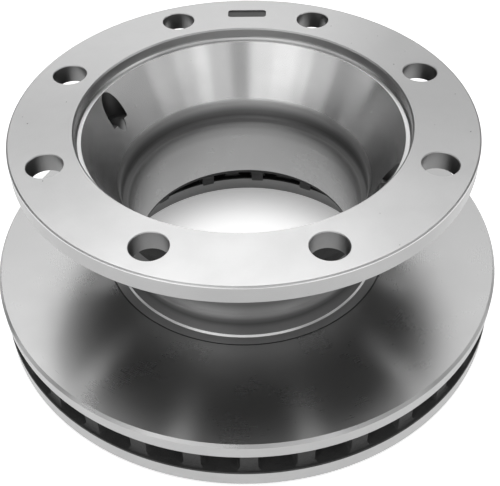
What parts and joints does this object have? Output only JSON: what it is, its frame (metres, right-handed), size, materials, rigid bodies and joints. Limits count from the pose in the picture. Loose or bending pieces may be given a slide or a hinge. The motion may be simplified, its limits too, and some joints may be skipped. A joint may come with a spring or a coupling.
{
  "type": "brake disc",
  "caption": "Ventilated brake disc for a heavy axle: bolt-on flange, tapering bell, necked hub and a friction ring with straight cooling vanes, cast in one piece.",
  "frame": {"origin": "centre of the lower friction face, on the axis of rotation", "axes": "+Z along the axis of rotation, from the friction ring towards the mounting flange; +X points midway between two wheel bolt holes"},
  "size_m": [0.3756, 0.3754, 0.16],
  "materials": {
    "cast_iron": "bare grey iron: turned faces satin bright, cast walls and air gap dull and rough"
  },
  "bodies": {
    "root": {"brake_disc": "cast_iron"}
  },
  "joints": []
}
